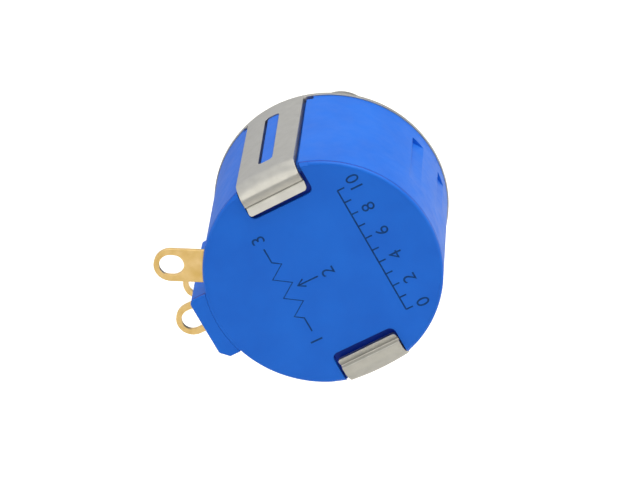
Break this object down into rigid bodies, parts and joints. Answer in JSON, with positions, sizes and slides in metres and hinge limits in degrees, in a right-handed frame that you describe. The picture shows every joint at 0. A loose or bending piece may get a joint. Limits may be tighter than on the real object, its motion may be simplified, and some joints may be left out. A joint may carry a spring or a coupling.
{
  "type": "multiturn potentiometer",
  "caption": "Round multiturn wirewound panel potentiometer with a blue moulded housing, sprung metal front plate, threaded bushing, slotted shaft and gold solder lugs.",
  "frame": {"origin": "where the shaft's axis meets the panel side of the front plate", "axes": "+Y along the shaft and bushing, out through the panel; +Z through one spring strap; -X through the terminal block"},
  "size_m": [0.0266, 0.0387, 0.0222],
  "materials": {
    "blue_plastic": "satin moulded",
    "spring_steel": "satin rolled sheet",
    "plated_brass": "bright nickel plate",
    "stainless_steel": "ground bar",
    "gold_plate": "satin gold plate",
    "rotor_plastic": "matt moulded",
    "carriage_plastic": "matt moulded",
    "winding": "fine wound wire",
    "contact_metal": "polished strip"
  },
  "bodies": {
    "case": {"housing": "blue_plastic", "rear_cover": "blue_plastic", "front_plate": "spring_steel", "bushing": "plated_brass", "thrust_washer": "carriage_plastic", "resistance_coil": "winding", "end_tap_ccw": "contact_metal", "end_tap_cw": "contact_metal", "terminal_ccw": "gold_plate", "terminal_cw": "gold_plate", "terminal_wiper": "gold_plate", "slip_ring_brush": "contact_metal", "spring_washer": "spring_steel"},
    "shaft_group": {"shaft": "stainless_steel", "rotor": "rotor_plastic", "retaining_ring": "spring_steel", "collector_rail": "contact_metal", "slip_ring": "contact_metal"},
    "carriage_group": {"carriage": "carriage_plastic", "coil_contact": "contact_metal", "rail_contact": "contact_metal"}
  },
  "joints": [
    {"name": "shaft_turn", "type": "hinge", "parent": "case", "child": "shaft_group", "pos_m": [0, 0, 0], "axis": [0, -1, 0], "range_deg": [0, 3600]},
    {"name": "carriage_travel", "type": "slide", "parent": "shaft_group", "child": "carriage_group", "axis": [0, -1, 0], "range_m": [0, 0.0105]}
  ],
  "couplings": [
    {"joint": "carriage_travel", "follows": "shaft_turn", "m_per_rad": 0.0001671}
  ]
}
